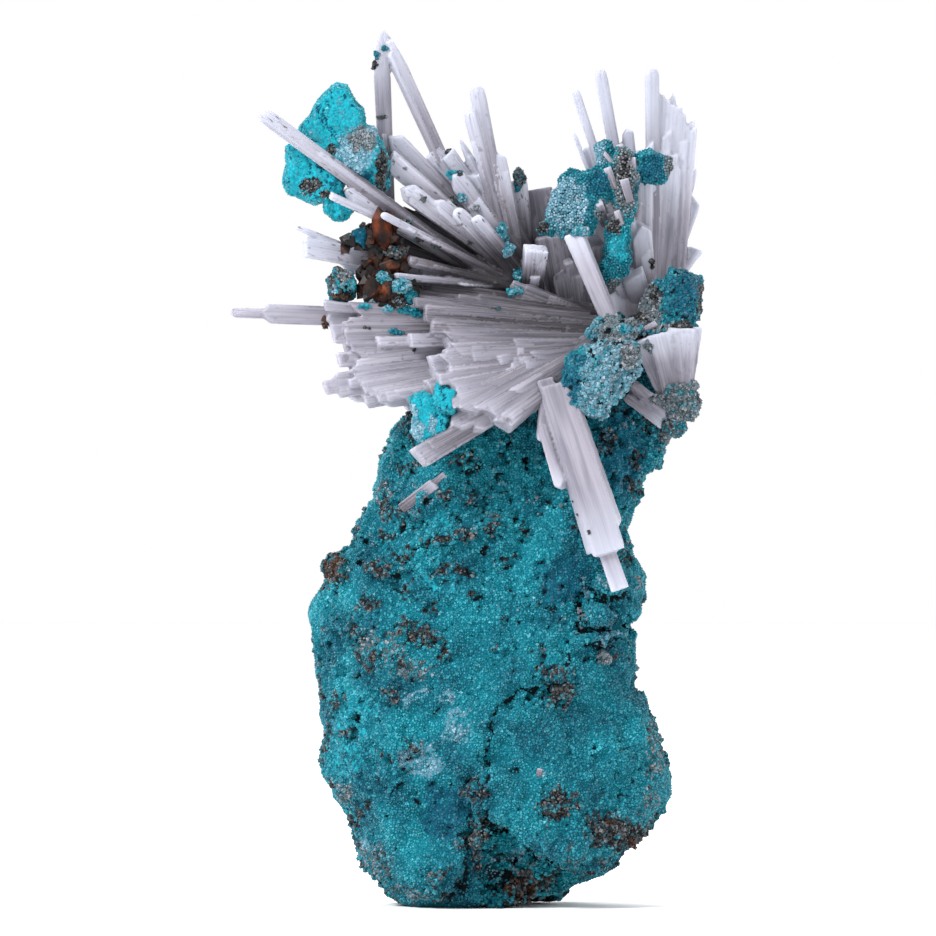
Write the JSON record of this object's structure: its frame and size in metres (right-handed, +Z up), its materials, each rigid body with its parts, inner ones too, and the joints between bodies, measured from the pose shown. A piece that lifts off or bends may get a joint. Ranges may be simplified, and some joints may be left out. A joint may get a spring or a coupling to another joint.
{
  "type": "aragonite on chrysocolla mineral specimen",
  "caption": "Upright chunk of turquoise chrysocolla topped by radiating sprays of white bladed aragonite, with druse-coated crumbs on the crystals and a flat foot to stand on.",
  "frame": {"origin": "middle of the flat foot under the matrix", "axes": "+Z up, along the specimen's height; the face in front of which the long blade hangs looks towards -Y; +X is to the right of that face"},
  "size_m": [0.0565, 0.0291, 0.1056],
  "materials": {
    "chrysocolla": "fine sparkling druse over turquoise blue rock, with brown limonite spots",
    "aragonite": "milky white, striated along the blades, slightly translucent",
    "pale_druse": "pale grey-blue sugary druse",
    "dark_druse": "teal and pinkish grey druse over dark rock",
    "bright_chrysocolla": "earthy bright turquoise",
    "limonite": "rusty brown to black, half gloss"
  },
  "bodies": {
    "root": {"chrysocolla_matrix": "chrysocolla", "aragonite_fan_left": "aragonite", "aragonite_spray_upper": "aragonite", "aragonite_columns_right": "aragonite", "aragonite_plates_middle": "aragonite", "aragonite_blade_front": "aragonite", "aragonite_blades_lower": "aragonite", "aragonite_stump_right": "aragonite", "druse_knob": "pale_druse", "druse_crust_upper": "pale_druse", "druse_cap_right": "dark_druse", "druse_crumb_left": "dark_druse", "chrysocolla_chip_left": "bright_chrysocolla", "chrysocolla_chip_lower": "bright_chrysocolla", "limonite_cluster": "limonite"}
  },
  "joints": []
}
